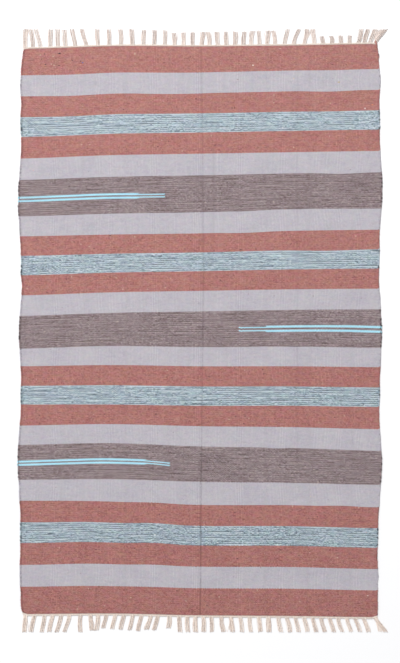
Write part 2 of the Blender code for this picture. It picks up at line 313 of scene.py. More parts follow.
def yarn_rise(rows):
    """How far the yarn of each row stands above or below a level cloth."""
    level_rows = np.stack([STRIPE_ROWS[:-1] + 1, STRIPE_ROWS[1:] - 1], 1).ravel()
    rises = np.repeat([YARNS[stripe.yarn].rise for stripe in STRIPES], 2)
    return np.interp(rows, level_rows, rises)


SLACK_WAVES, SLACK_HIGH = 9, 0.09 * MM
TIGHT = 24  # radians a metre, the tightest of them
chance = random.Random(7)
SLACK = [  # long, low waves of a cloth that was never quite flat: turns across, along, start
    (chance.uniform(-TIGHT, TIGHT), chance.uniform(-TIGHT, TIGHT), chance.uniform(0, math.tau))
    for _ in range(SLACK_WAVES)
]


def top_height(ribs, rows):
    """How high the cloth's top lies between its ribs."""
    x, y = woven_place(ribs, rows)
    slack = sum(np.sin(along_x * x + along_y * y + start) for along_x, along_y, start in SLACK)
    return CLOTH_HIGH + fold_marks(x, y)[0] + yarn_rise(rows) + SLACK_HIGH * slack


def yarn_at(rows):
    """The number, in YARNS, of the yarn that each row is woven with."""
    names = list(YARNS)
    stripe = np.clip(np.searchsorted(STRIPE_ROWS, rows, side="right") - 1, 0, len(STRIPES) - 1)
    return np.array([names.index(STRIPES[k].yarn) for k in stripe])


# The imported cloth's middle, against the middle of the same outline here.
all_rows = np.arange(STRIPE_ROWS[-1] + 1)[:, None]
outline_x, outline_y = woven_place(np.array([0, RIBS / 2, RIBS]), all_rows)
cad_low, cad_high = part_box("kilim_cloth")
RUG_X = (cad_low.x + cad_high.x) / 2 - (outline_x.min() + outline_x.max()) / 2
RUG_Y = (cad_low.y + cad_high.y) / 2 - (outline_y.min() + outline_y.max()) / 2


def set_points(piece, x, y, z):
    """Put a mesh's points at places in the weaving's own floor coordinates."""
    places = np.stack(np.broadcast_arrays(x + RUG_X, y + RUG_Y, z), -1).astype(np.float32)
    piece.data.vertices.foreach_set("co", places.ravel())
    piece.data.update()


def count_places(piece, ribs, rows, third=0.0):
    """Keep with each point the ribs and rows that it is at, for its material to read."""
    counts = np.stack(np.broadcast_arrays(ribs, rows, third), -1).astype(np.float32)
    layer = piece.data.attributes.new("weave", "FLOAT_VECTOR", "POINT")
    layer.data.foreach_set("vector", counts.ravel())


def node(tree, kind, inputs=(), **settings):
    """Add a node, set its properties, and feed its inputs values or other nodes' outputs."""
    made = tree.nodes.new("ShaderNode" + kind)
    for name, value in settings.items():
        setattr(made, name, value)
    for name, value in dict(inputs).items():
        if isinstance(value, bpy.types.NodeSocket):
            tree.links.new(value, made.inputs[name])
        else:
            made.inputs[name].default_value = value
    return made


def calc(tree, operation, *values):
    """The result of a Math node."""
    return node(tree, "Math", enumerate(values), operation=operation).outputs[0]


def calc_vector(tree, operation, *vectors):
    """The result of a Vector Math node."""
    return node(tree, "VectorMath", enumerate(vectors), operation=operation).outputs[0]


def blend(tree, share, low, high, kind="MIX"):
    """The colour of a Mix node."""
    inputs = {0: share, 6: low, 7: high}
    return node(tree, "Mix", inputs, data_type="RGBA", blend_type=kind).outputs[2]


def opaque(colour, share=1.0):
    """A colour, or a darker share of it, as a socket takes it."""
    return (*(share * value for value in colour), 1)


def link(tree, results, inputs):
    """Join results to the inputs of the same names."""
    for label, result in results.items():
        tree.links.new(result, inputs[label])


def new_group(name, inputs, outputs):
    """An empty shader node group with float or vector sockets, and its two end nodes."""
    tree = bpy.data.node_groups.new(name, "ShaderNodeTree")
    for in_out, sockets in (("INPUT", inputs), ("OUTPUT", outputs)):
        for label, kind in sockets.items():
            tree.interface.new_socket(label, in_out=in_out, socket_type="NodeSocket" + kind)
    return tree, tree.nodes.new("NodeGroupInput"), tree.nodes.new("NodeGroupOutput")


# Beads of weft: ribs and rows in, and out come the bead's height, the gaps round it, and
# numbers round zero for the bead, its streak, its row against the next, its rib, the slow
# drift of the dye, the place along the rug and the dye's hue, and whether it is a fleck.
WEFT_NUMBERS = "Height", "Gap", "Bead", "Streak", "Line", "Rib", "Drift", "Along", "Fleck"
weft, weft_in, weft_out = new_group(
    "weft_faced_weave",
    {"Place": "Vector", "Streak Ribs": "Float", "Fleck Share": "Float"},
    dict.fromkeys(WEFT_NUMBERS, "Float") | {"Dye": "Vector"},
)
BEAD_SLANT = 0.35  # of a row, by which a bead leans from one side of its rib to the other
RIB_FALL, BEAD_FALL = (2.0, 2.6), (1.9, 2.2)  # how soon and how steeply a bead falls off
PLY_TURNS, PLY_RIDGE = (9.0, 14.0), 0.09  # the yarn's own twist, across and along a bead
FLECK_SHIFT = 17.3, 41.9, 0.0  # so that flecks and pale beads fall in places of their own
SHORT_STREAK, SHORT_PAIRED = 0.75, 0.6  # the short streaks' share, against the long ones
PLY_CONTRAST = 0.07  # the least by which the one strand is darker than the other
DYE_PATCH = 0.19, 0.32, 0.0  # patches of one hue, by the rib and by the row


def weft_noise(across, by_rib, along, by_row, start, detail, roughness):
    """Soft noise round zero, which changes this fast from rib to rib and from row to row."""
    x = calc(weft, "MULTIPLY", across, by_rib)
    y = calc(weft, "MULTIPLY_ADD", along, by_row, start)
    key = node(weft, "CombineXYZ", {0: x, 1: y}).outputs[0]
    settings = {"Vector": key, "Scale": 1.0, "Detail": detail, "Roughness": roughness}
    return calc(weft, "SUBTRACT", node(weft, "TexNoise", settings).outputs[0], 0.5)


def bead_value(key):
    """A random value from 0 to 1 for each bead."""
    return node(weft, "TexWhiteNoise", {"Vector": key}, noise_dimensions="2D").outputs["Value"]


def falling_off(off, wide, steep):
    """How far a bead has fallen off, at this share of a rib or a row from its middle."""
    return calc(weft, "POWER", calc(weft, "ABSOLUTE", calc(weft, "MULTIPLY", off, wide)), steep)


place = node(weft, "SeparateXYZ", {0: weft_in.outputs["Place"]}).outputs
rib = calc(weft, "FLOOR", place[0])
rib_off = calc(weft, "SUBTRACT", calc(weft, "FRACT", place[0]), 0.5)
odd = calc(weft, "FLOORED_MODULO", rib, 2.0)
staggered = calc(weft, "MULTIPLY_ADD", odd, 0.5, place[1])
bead_row = calc(weft, "FLOOR", staggered)
bead_off = calc(weft, "SUBTRACT", calc(weft, "FRACT", staggered), 0.5)
slanted = calc(weft, "MULTIPLY_ADD", rib_off, BEAD_SLANT, bead_off)
fall = calc(weft, "ADD", falling_off(rib_off, *RIB_FALL), falling_off(slanted, *BEAD_FALL))
crown = calc(weft, "SQRT", calc(weft, "SUBTRACT", 1.0, calc(weft, "MINIMUM", fall, 1.0)))
plies = calc(weft, "MULTIPLY", bead_off, PLY_TURNS[1])
plies = calc(weft, "MULTIPLY_ADD", rib_off, PLY_TURNS[0], plies)
ply_ridge = calc(weft, "MULTIPLY", calc(weft, "SINE", plies), PLY_RIDGE)
bead_key = node(weft, "CombineXYZ", {0: rib, 1: bead_row}).outputs[0]
fleck_key = calc_vector(weft, "ADD", bead_key, FLECK_SHIFT)

# Streaks of the melange run along a row. Rows go in pairs, the one as dark as the other is
# pale, because the two strands of the yarn take turns to lie on top.
streak_place = calc(weft, "DIVIDE", place[0], weft_in.outputs["Streak Ribs"])
long_streak = weft_noise(streak_place, 1.0, bead_row, 5.31, 0.0, 3.5, 0.68)
apart = calc(weft, "MULTIPLY", odd, 1.7)
short_streak = weft_noise(place[0], 0.72, bead_row, 3.17, apart, 1.0, 0.5)
turn = calc(weft, "MULTIPLY_ADD", calc(weft, "FLOORED_MODULO", bead_row, 2.0), -2.0, 1.0)
pair = calc(weft, "FLOOR", calc(weft, "MULTIPLY", bead_row, 0.5))
long_paired = weft_noise(streak_place, 1.0, pair, 7.77, 31.0, 3.5, 0.72)
short_paired = weft_noise(place[0], 0.6, pair, 9.13, 5.0, 1.0, 0.5)
paired = calc(weft, "MULTIPLY_ADD", short_paired, SHORT_PAIRED, long_paired)
paired = calc(weft, "ADD", paired, PLY_CONTRAST)
dye_key = calc_vector(weft, "MULTIPLY", weft_in.outputs["Place"], DYE_PATCH)
dye = node(weft, "TexNoise", {"Vector": dye_key, "Scale": 1.0, "Detail": 1.5}).outputs["Color"]
results = {
    "Height": calc(weft, "ADD", crown, ply_ridge),
    "Gap": calc(weft, "SUBTRACT", 1.0, crown),
    "Bead": calc(weft, "SUBTRACT", bead_value(bead_key), 0.5),
    "Streak": calc(weft, "MULTIPLY_ADD", short_streak, SHORT_STREAK, long_streak),
    "Line": calc(weft, "MULTIPLY", paired, turn),
    "Rib": weft_noise(place[0], 0.45, place[1], 0.012, 0.0, 2.0, 0.6),
    "Drift": weft_noise(place[0], 0.045, place[1], 0.055, 0.0, 3.0, 0.5),
    "Fleck": calc(weft, "LESS_THAN", bead_value(fleck_key), weft_in.outputs["Fleck Share"]),
    "Dye": calc_vector(weft, "SUBTRACT", dye, (0.5, 0.5, 0.5)),
    "Along": calc(weft, "MULTIPLY_ADD", place[1], 1 / float(STRIPE_ROWS[-1]), -0.5),
}
link(weft, results, weft_out.inputs)


def new_material(name, values):
    """A new material, its nodes and its shader, with the values that are even all over."""
    material = bpy.data.materials.new(name)
    material.use_nodes = True
    shader = material.node_tree.nodes["Principled BSDF"]
    for label, value in values.items():
        shader.inputs[label].default_value = value
    return material, material.node_tree, shader


def three_shades(tree, tone, dark, middling, pale):
    """The colour at a tone from 0 to 1, blended from three shades."""
    ramp = node(tree, "ValToRGB", {0: tone})
    ramp.color_ramp.elements[0].color = opaque(dark)
    ramp.color_ramp.elements[1].color = opaque(pale)
    ramp.color_ramp.elements.new(0.5).color = opaque(middling)
    return ramp.outputs[0]


def raised(tree, height, most, strength):
    """The normals of a surface whose heights are shares of the most."""
    return node(tree, "Bump", {"Height": height, "Distance": most, "Strength": strength}).outputs[0]


WOVEN_COTTON = {"Sheen Weight": 0.12, "Sheen Roughness": 0.5, "Specular IOR Level": 0.25}
TONE_SHIFTS = (  # what shifts a yarn's tone, which of its shares says how much, and the most
    ("Streak", "streaky", 1.9),
    ("Bead", "beady", 0.6),
    ("Line", "lined", 2.0),
    ("Rib", "ribby", 1.2),
    ("Drift", "drifty", 1.2),
    ("Along", "faded", 1.0),
)
FLECK_DARK, FLECK_COVER = 0.1, 0.8  # a fleck on a bead under this is dark; how much it covers
GAP_SHADE, GAP_SHADE_TONE = 0.4, 0.25  # painted shade: how far a gap between beads goes to this share of the dark
PAINTED_SHADE_TONE = 0.3  # and painted shade, along creases and at the selvedges, to this share of it
PAINTED_SHADE_BEAD, PAINTED_SHADE_LINE = 1.9, 5.0  # how unevenly the painted shade falls on the beads and rows
ROUGH, GAP_ROUGHER = 0.86, 0.12
BEAD_HIGH = 0.5 * MM


def yarn_material(name, yarn):
    """Matt spun cotton, blended unevenly from three shades, beaten into beads, with painted shade.
    """
    material, tree, shader = new_material(name, WOVEN_COTTON)
    counted = node(tree, "Attribute", attribute_name="weave").outputs["Vector"]
    inputs = {"Place": counted, "Streak Ribs": yarn.streak, "Fleck Share": yarn.flecks}
    out = node(tree, "Group", inputs, node_tree=weft).outputs

    tone = 0.5
    for result, share, most in TONE_SHIFTS:
        tone = calc(tree, "MULTIPLY_ADD", out[result], getattr(yarn, share) * most, tone)
    hue = calc_vector(tree, "MULTIPLY_ADD", out["Dye"], (yarn.dyed,) * 3, (1.0, 1.0, 1.0))
    shades = three_shades(tree, tone, yarn.dark, yarn.middling, yarn.pale)
    dyed = blend(tree, 1.0, shades, hue, "MULTIPLY")

    fleck_tone = calc(tree, "GREATER_THAN", out["Bead"], FLECK_DARK)
    fleck = blend(tree, fleck_tone, opaque(yarn.fleck_dark), opaque(yarn.fleck_pale))
    colour = blend(tree, calc(tree, "MULTIPLY", out["Fleck"], FLECK_COVER), dyed, fleck)
    # Painted shade in the gaps between beads.
    shade = calc(tree, "MULTIPLY", out["Gap"], GAP_SHADE)
    colour = blend(tree, shade, colour, opaque(yarn.dark, GAP_SHADE_TONE))
    # Painted shade from the third count, along creases and at the selvedges, uneven by bead and
    # row.
    patchy = calc(tree, "MULTIPLY_ADD", out["Bead"], PAINTED_SHADE_BEAD, 1.0)
    patchy = calc(tree, "MULTIPLY_ADD", out["Line"], yarn.lined * PAINTED_SHADE_LINE, patchy)
    painted_shade = calc(tree, "MULTIPLY", node(tree, "SeparateXYZ", {0: counted}).outputs[2], patchy)
    finish = {
        "Base Color": blend(tree, painted_shade, colour, opaque(yarn.dark, PAINTED_SHADE_TONE)),
        "Roughness": calc(tree, "MULTIPLY_ADD", out["Gap"], GAP_ROUGHER, ROUGH),
        "Normal": raised(tree, out["Height"], BEAD_HIGH, 0.9),
    }
    link(tree, finish, shader.inputs)
    return material


yarn_materials = [yarn_material(f"yarn_{name}", yarn) for name, yarn in YARNS.items()]

# The top has a column of the mesh on each rib's crown and one in each hollow between ribs.
# Where the yarn changes its line is toothed, as neighbouring ribs change half a row apart.
TOOTH = 0.25
RIB_WIDE = half_width(0) * 2 / RIBS
edge_ribs = EDGE_IN / RIB_WIDE
columns = np.arange(0, RIBS + 0.5, 0.5)
columns[[0, -1]] = edge_ribs, RIBS - edge_ribs
on_crown = np.arange(len(columns)) % 2 == 1
row_places = [0.0]
for start, stop in zip(STRIPE_ROWS, STRIPE_ROWS[1:]):
    row_places.extend(np.linspace(start, stop, round((stop - start) / ROWS_A_STEP) + 1)[1:])
ribs, rows = np.meshgrid(columns, row_places)
tooth = np.where(on_crown, np.where(np.arange(len(columns)) % 4 == 1, TOOTH, -TOOTH), 0)
rows[np.isin(row_places, STRIPE_ROWS[1:-1])] += tooth
x, y = woven_place(ribs, rows)
z = top_height(ribs, rows) + np.where(on_crown, RIB_HIGH / 2, -RIB_HIGH / 2)
GROOVE_SHADE = 0.42, 0.07  # painted shade: how much darker the groove beside the left and the right selvedge is
GROOVE_IN = 1.2  # ribs from the edge to its middle, and from there to its own edges
off_groove = abs(np.minimum(ribs, RIBS - ribs) - GROOVE_IN) / GROOVE_IN
groove_shade = np.where(across_at(ribs) < 0, *GROOVE_SHADE) * (1 - eased(off_groove))

bpy.ops.object.select_all(action="DESELECT")
bpy.ops.mesh.primitive_grid_add(
    x_subdivisions=len(columns) - 1, y_subdivisions=len(row_places) - 1, size=1
)
cloth = bpy.context.object
cloth.name = cloth.data.name = "woven_cloth"
set_points(cloth, x, y, z)
# The third count is painted shade: along the dented creases and in the grooves by the selvedges.
count_places(cloth, ribs, rows, np.maximum(fold_marks(x, y)[1], groove_shade))


def edit_all():
    """Go on in edit mode, with all of the piece selected."""
    bpy.ops.object.mode_set(mode="EDIT")
    bpy.ops.mesh.select_all(action="SELECT")


# The rim drops straight to the floor, and the underside is parted where the yarn changes.
edit_all()
bpy.ops.mesh.region_to_loop()
bpy.ops.mesh.extrude_edges_indiv()
bpy.ops.transform.resize(value=(1, 1, 0), center_override=(0, 0, 0))
bpy.ops.mesh.edge_face_add()
bpy.ops.object.mode_set(mode="OBJECT")

mesh = bmesh.new()
mesh.from_mesh(cloth.data)
weave = mesh.verts.layers.float_vector["weave"]
foot = [vertex for vertex in mesh.verts if vertex.co.z == 0]
for line in STRIPE_ROWS[1:-1]:
    left, right = (vertex for vertex in foot if vertex[weave].y == line)
    under = next(face for face in left.link_faces if face in right.link_faces)
    bmesh.utils.face_split(under, left, right)
mesh.to_mesh(cloth.data)
mesh.free()

corners = np.empty(len(cloth.data.loops), np.int32)
cloth.data.loops.foreach_get("vertex_index", corners)
counts = np.empty(len(cloth.data.vertices) * 3, np.float32)
cloth.data.attributes["weave"].data.foreach_get("vector", counts)
corner_ribs, corner_rows, _ = counts.reshape(-1, 3)[corners].T
starts = np.array([face.loop_start for face in cloth.data.polygons])
sizes = np.diff([*starts, len(corners)])
middle_rows = np.add.reduceat(corner_rows, starts) / sizes
for material in yarn_materials:
    cloth.data.materials.append(material)
cloth.data.polygons.foreach_set("material_index", yarn_at(middle_rows).astype(np.int32))
cloth.data.shade_smooth()
cloth.data.set_sharp_from_angle(angle=math.radians(50))


def face_ends(values):
    """The least and the greatest of a value in each face, again for each of its corners."""
    low, high = np.minimum.reduceat(values, starts), np.maximum.reduceat(values, starts)
    return np.repeat(low, sizes), np.repeat(high, sizes)


# The map on which its finish is kept: the top nearly fills it, the underside takes a narrow
# strip beside the top, and the side rims and the end rims a line each beside that.
TOP_MAP, RIM_MAP = 0.86, 0.002  # the width of the top, and of each line, on the map
UNDER_MAP, SIDE_MAP, END_MAP = (0.87, 0.1), (0.986, 0.004), (0.994, 0.003)  # start, width
heights = np.empty(len(cloth.data.vertices) * 3, np.float32)
cloth.data.vertices.foreach_get("co", heights)
corner_z = heights.reshape(-1, 3)[corners, 2]
share_x, share_y = corner_ribs / RIBS, corner_rows / STRIPE_ROWS[-1]
rim_u = RIM_MAP * corner_z / CLOTH_HIGH
on_side, on_end = np.equal(*face_ends(corner_ribs)), np.equal(*face_ends(corner_rows))
under = face_ends(corner_z)[1] == 0
side_u = SIDE_MAP[0] + SIDE_MAP[1] * (share_x > 0.5) + rim_u
end_u = END_MAP[0] + END_MAP[1] * (share_y > 0.5) + rim_u
under_u = UNDER_MAP[0] + UNDER_MAP[1] * share_x
map_u = np.select((on_side, on_end, under), (side_u, end_u, under_u), TOP_MAP * share_x)
map_v = np.where(on_end, share_x, share_y)
kept = cloth.data.uv_layers.new(name="OFBake")
kept.uv.foreach_set("vector", np.stack([map_u, map_v], 1).astype(np.float32).ravel())
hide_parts("kilim_cloth")
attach(cloth, "root")


# The selvedges. At each side the weft turns round the outermost warps and goes back, so the
# edge is a row of tight loops, one to a row of beads. A few loops were left slack.
LOOP_THICK = 1.6 * MM
LOOP_PRESSED = 1.08  # of a row, the width to which it is pressed by the loops beside it
LOOP_TALL = 1.65 * MM  # from the edge warps' middle to the yarn's, upwards
LOOP_DEEP = 2.2 * MM  # and sideways
LOOP_START, LOOP_TURN = math.radians(-35), math.radians(240)  # from inside the top
LOOP_STEPS = 7
LOOP_SLANT = 0.25  # of a row, from the inside of a loop to its outside
LOOSE = 0.6 * MM
LOOP_LIT = 0.3  # how far round its bead of the weave a loop takes its colour from
DRAWN_IN = 1.2 * MM  # by which every third loop, which turns round both edge warps, is tighter
DRAWN_DARK = 0.4  # how much more painted shade it takes
LOOP_DARK, LINED_DARK = 0.2, 0.55  # the most painted shade on a loop, and more by how lined its yarn is
INNER_DARK, INNER = (0.4, 0.1), 0.2  # more painted shade at the left and right, inwards of this share of a loop
MELANGE = 0.5  # a yarn more lined than this shows its dark strand, with painted shade, on some pairs of loops
DARK_PAIRS = 0.65, 0.05  # share of the even pairs and of the odd ones
DARK_PALE, DARK_OUT = (1.0, -0.8), 0.8 * MM
EAR_LOOPS = 4  # at the far right corner, where the edge warps were pulled out past the end
EAR_STEP, EAR_IN, EAR_UP = 3.0 * MM, 0.6 * MM, 0.5 * MM  # from each of its loops to the next
EAR_WIDER = 0.4  # of a loop
SLACK_LOOPS = {  # side, and row of the loop: how far it stands out
    (1, 486): 4 * MM,
    (1, 287): 2.5 * MM,
    (-1, 489): 1 * MM,
    (-1, 487): 1.2 * MM,
}

Seed = namedtuple("Seed", "x y z corners starts")


def take_seed():
    """Take the seed that was modelled last: its points, and its faces' corners and starts."""
    bpy.ops.object.mode_set(mode="OBJECT")
    seed = bpy.context.object
    x, y, z = np.array([vertex.co for vertex in seed.data.vertices], float).T
    corners = np.array([number for face in seed.data.polygons for number in face.vertices])
    starts = np.array([face.loop_start for face in seed.data.polygons])
    bpy.data.objects.remove(seed)
    return Seed(x, y, z, corners, starts)


def copies_of(seed, name, places, counts, materials, numbers=0):
    """One mesh of many copies of a seed, with a row of places and counts for each copy."""
    copies, points = places[0].shape
    copy = np.arange(copies)[:, None]
    corners = (seed.corners + copy * points).astype(np.int32).ravel()
    starts = (seed.starts + copy * len(seed.corners)).astype(np.int32).ravel()
    mesh = bpy.data.meshes.new(name)
    mesh.vertices.add(copies * points)
    mesh.loops.add(len(corners))
    mesh.loops.foreach_set("vertex_index", corners)
    mesh.polygons.add(len(starts))
    mesh.polygons.foreach_set("loop_start", starts)
    for material in materials:
        mesh.materials.append(material)
    numbers = np.repeat(np.broadcast_to(numbers, copies), len(seed.starts))
    mesh.polygons.foreach_set("material_index", numbers.astype(np.int32))
    made = bpy.data.objects.new(name, mesh)
    bpy.context.scene.collection.objects.link(made)
    set_points(made, *places)
    count_places(made, *counts)
    mesh.update(calc_edges=True)
    mesh.shade_smooth()
    mesh.set_sharp_from_angle(angle=math.radians(65))
    return made


bpy.ops.object.select_all(action="DESELECT")
bpy.ops.mesh.primitive_circle_add(
    vertices=6, radius=LOOP_THICK / 2, fill_type="NGON",
    location=(LOOP_TALL * math.sin(LOOP_START), 0, LOOP_TALL * math.cos(LOOP_START)),
    rotation=(0, math.pi / 2 + LOOP_START, 0),
)  # fmt: skip
bpy.ops.object.transform_apply()
edit_all()
bpy.ops.transform.resize(value=(1, LOOP_PRESSED * ROW / LOOP_THICK, 1))
bpy.ops.mesh.spin(steps=LOOP_STEPS, angle=-LOOP_TURN, center=(0, 0, 0), axis=(0, 1, 0))
bpy.ops.mesh.select_all(action="SELECT")
bpy.ops.transform.resize(value=(LOOP_DEEP / LOOP_TALL, 1, 1), center_override=(0, 0, 0))
bpy.ops.mesh.normals_make_consistent(inside=False)
loop = take_seed()
loop_out, loop_up = loop.x.max(), -loop.z.min()
outward = loop.x / loop_out

# The right selvedge's loops lie half a row from the left one's, as the weft goes back: side,
# rib, place of the first loop and of the bead that it is coloured as, in rows, more loops.
SIDES = {"left": (-1, 0, 0.5, 0.5, 0), "right": (1, RIBS, 0.95, 1.0, EAR_LOOPS)}
chance = random.Random(11)
for label, (side, edge, first, bead, ear_loops) in SIDES.items():
    turns = np.arange(STRIPE_ROWS[-1] + ear_loops)[:, None] + first
    slack = [SLACK_LOOPS.get((side, int(turn)), 0) for turn in turns[:, 0]]
    slack = np.array([out + chance.uniform(-LOOSE, LOOSE) for out in slack])[:, None]
    drawn = np.arange(len(turns))[:, None] % 3 == 0
    yarns = yarn_at(turns[:, 0])
    lined = np.array([yarn.lined for yarn in YARNS.values()])[yarns, None]
    # Painted shade of the edge that rolls down: at random, more on drawn-in loops, inside, and none
    # on the ear.
    shade = np.array([[max(0, chance.uniform(-0.5, 1))] for _ in turns])
    shade = shade * (LOOP_DARK + LINED_DARK * lined) + drawn * DRAWN_DARK
    shade = shade + INNER_DARK[side > 0] * np.clip(INNER - outward, 0, 1)
    dark = [chance.random() < DARK_PAIRS[pair % 2] for pair in range(len(turns) // 2 + 1)]
    dark = np.repeat(dark, 2)[: len(turns), None]
    shade = np.where(lined > MELANGE, np.maximum(0, shade + np.where(dark, *DARK_PALE)), shade)
    shade = shade * (turns < STRIPE_ROWS[-1])
    slack = slack - drawn * DRAWN_IN + (lined > MELANGE) * dark * DARK_OUT
    rows = turns + side * loop.y / ROW + LOOP_SLANT * outward
    past_end = np.maximum(0, rows - STRIPE_ROWS[-1])
    edge_x, edge_y = woven_place(edge, rows)
    reach = (loop.x - loop_out) * (1 + EAR_WIDER * np.minimum(past_end, 1))
    x = edge_x + side * (reach + slack * np.clip(outward, 0, 1) - past_end * EAR_IN)
    y = edge_y + past_end * EAR_STEP
    z = (loop_up + loop.z) * top_height(edge, rows) / CLOTH_HIGH + past_end * EAR_UP
    bead_ribs = abs(edge - 0.5 - LOOP_LIT * outward)
    bead_rows = np.floor(turns) + bead + LOOP_LIT * loop.y / ROW
    counts = (bead_ribs, bead_rows, shade)
    selvedge = copies_of(loop, f"selvedge_{label}", (x, y, z), counts, yarn_materials, yarns)
    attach(selvedge, "root")


# The inlay. In each broad taupe stripe two lines of bright blue weft are laid in from one
# selvedge, two rows thick and then one row thick, until the yarn was cut off and tucked in.
PICK_WIDE, THIN_WIDE, PICK_THICK = 3.1 * MM, 3.6 * MM, 1.4 * MM
PICK_STEPS = 6  # over one rib and under the next
PICK_SUNK = 0.1 * MM  # the middle of the yarn below the crowns, where it goes over a rib
PICK_DIP = 1.6 * MM  # and how much lower it is where it goes under the next
PICK_LIT = 0.6  # how much of a bead of the weave a pick takes its colour from

# How many ribs the thick part and the thin one reach from the selvedge, how far in mm the
# inner rows are from the middle of the pair of lines, and how far in mm that lies above the
# middle of its stripe, at ribs from the selvedge.
Inlay = namedtuple("Inlay", "stripe side thick thin apart lie")
INLAYS = (
    Inlay(18, -1, 100, 120, 4.2, ((0, -4.5), (35, -3.4), (70, -2.4), (100, -3.35), (120, -3.4))),
    Inlay(12, 1, 96, 118, 5.1, ((0, -2.9), (28, -0.5), (51, -0.5), (96, -1.7), (118, -1.6))),
    Inlay(6, -1, 107, 127, 3.8, ((0, -3.15), (68, 0.75), (107, 0.65), (127, -4.3))),
)

bright_blue = Yarn(
    0.0, 0.0, (0.34, 0.69, 0.85), (0.42, 0.79, 0.94), (0.5, 0.86, 0.98),
    4.0, 0.5, 0.0, 0.5, 0.0, 0.2, 0.0, 0.05, 0.0, (0.3, 0.5, 0.6), (0.6, 0.8, 0.9),
)  # fmt: skip
yarn_materials.append(yarn_material("yarn_bright_blue", bright_blue))


def spun_yarn(plies, ply_thick, spread, sides, turns, steps, twist):
    """A seed of plies twisted round each other upwards, its turns 1 high, closed at the ends."""
    bpy.ops.object.select_all(action="DESELECT")
    for ply in range(plies):
        bpy.ops.mesh.primitive_circle_add(
            vertices=sides, radius=ply_thick / 2, location=(spread * (1 - 2 * ply), 0, 0)
        )
    for circle in bpy.context.scene.objects:
        circle.select_set(circle.name.startswith("Circle"))
    if plies > 1:
        bpy.ops.object.join()
    bpy.ops.object.transform_apply()
    twisting = bpy.context.object.modifiers.new("twist", "SCREW")
    twisting.angle = twist * math.tau
    twisting.screw_offset = 1
    twisting.iterations = turns
    twisting.steps = twisting.render_steps = steps
    twisting.use_merge_vertices = False
    bpy.ops.object.modifier_apply(modifier="twist")
    edit_all()
    bpy.ops.mesh.fill_holes(sides=0)
    bpy.ops.mesh.normals_make_consistent(inside=False)
    return take_seed()


def lay_picks(inlay, long, name, lines, wide):
    """Lay in the picks of some lines, two to a row, over every other rib."""
    pick = spun_yarn(1, 1.0, 0.0, 6, long // 2, PICK_STEPS, 0)
    middle = (STRIPE_LINES[inlay.stripe] + STRIPE_LINES[inlay.stripe + 1]) / 2
    starts, lies = zip(*inlay.lie)
    offs = np.array([line + half * ROW / 4 for line in lines for half in (-1, 1)])[:, None]
    odd = np.tile((0, 1), len(lines))[:, None]
    from_edge = pick.z * 2 + odd
    ribs = from_edge if inlay.side < 0 else RIBS - from_edge
    lie = np.interp(from_edge, starts, lies) * MM
    along = middle + lie + offs + pick.y * wide
    x, y = floor_place(across_at(ribs), along)
    rows = np.interp(along, STRIPE_LINES, STRIPE_ROWS)
    wave = (np.cos(math.tau * (pick.z - 0.25)) - 1) * PICK_DIP / 2
    level = top_height(ribs, rows) + RIB_HIGH / 2 - PICK_SUNK
    z = level + wave + pick.x * PICK_THICK
    counts = (np.floor(ribs) + 0.5, np.floor(rows) + 0.5 + PICK_LIT * pick.y)
    laid = copies_of(pick, name, (x, y, z), counts, [yarn_materials[-1]])
    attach(laid, "root")


for number, inlay in enumerate(INLAYS):
    inner, outer = inlay.apart * MM, inlay.apart * MM + ROW
    lay_picks(inlay, inlay.thin, f"inlay_{number}_thin", (-inner, inner), THIN_WIDE)
    lay_picks(inlay, inlay.thick, f"inlay_{number}_thick", (-outer, outer), PICK_WIDE)


# Slubs. Tufts of other cotton were spun into the yarns with the rest and stand a little out
# of the beads: flat knots of fibre, longer along their weft.
OWN_TONE, ALONG_TONE = 0.5, 1.3  # how far cotton's tone varies by the yarn, and along it
LOOSE_COTTON = {"Sheen Roughness": 0.5, "Specular IOR Level": 0.2, "Roughness": 0.9}
NAP_HIGH = 0.5 * MM

# Loosely spun cotton: a place on the yarn, counted across and along, and the same place on
# the rug come in, and out come its tone round a half and the height of its fibres.
spun, spun_in, spun_out = new_group(
    "spun_cotton",
    {"Place": "Vector", "Spot": "Vector", "Fibres": "Float"},
    {"Tone": "Float", "Height": "Float"},
)
spun_parts = node(spun, "SeparateXYZ", {0: spun_in.outputs["Place"]}).outputs
own_key = calc(spun, "FLOOR", spun_parts[0])
own = node(spun, "TexWhiteNoise", {"W": own_key}, noise_dimensions="1D").outputs[0]
along_key = {"Vector": spun_in.outputs["Place"], "Scale": 0.45, "Detail": 3.0, "Roughness": 0.6}
along = node(spun, "TexNoise", along_key).outputs[0]
spun_tone = calc(spun, "MULTIPLY_ADD", calc(spun, "SUBTRACT", along, 0.5), ALONG_TONE, 0.5)
spun_tone = calc(spun, "MULTIPLY_ADD", calc(spun, "SUBTRACT", own, 0.5), OWN_TONE, spun_tone)
fibre_key = {"Vector": spun_in.outputs["Spot"], "Scale": spun_in.outputs["Fibres"]}
fibres = node(spun, "TexNoise", fibre_key | {"Detail": 4.0, "Roughness": 0.65}).outputs[0]
link(spun, {"Tone": spun_tone, "Height": fibres}, spun_out.inputs)


def cotton_material(name, dark, middling, pale, fibres, sheen):
    """Loosely spun cotton of three shades with a soft nap."""
    material, tree, shader = new_material(name, {**LOOSE_COTTON, "Sheen Weight": sheen})
    counted = node(tree, "Attribute", attribute_name="weave").outputs["Vector"]
    spot = node(tree, "TexCoord").outputs["Object"]
    inputs = {"Place": counted, "Spot": spot, "Fibres": fibres}
    cotton = node(tree, "Group", inputs, node_tree=spun).outputs
    colour = three_shades(tree, cotton["Tone"], dark, middling, pale)
    nap = raised(tree, cotton["Height"], NAP_HIGH, 0.8)
    link(tree, {"Base Color": colour, "Normal": nap}, shader.inputs)
    return material


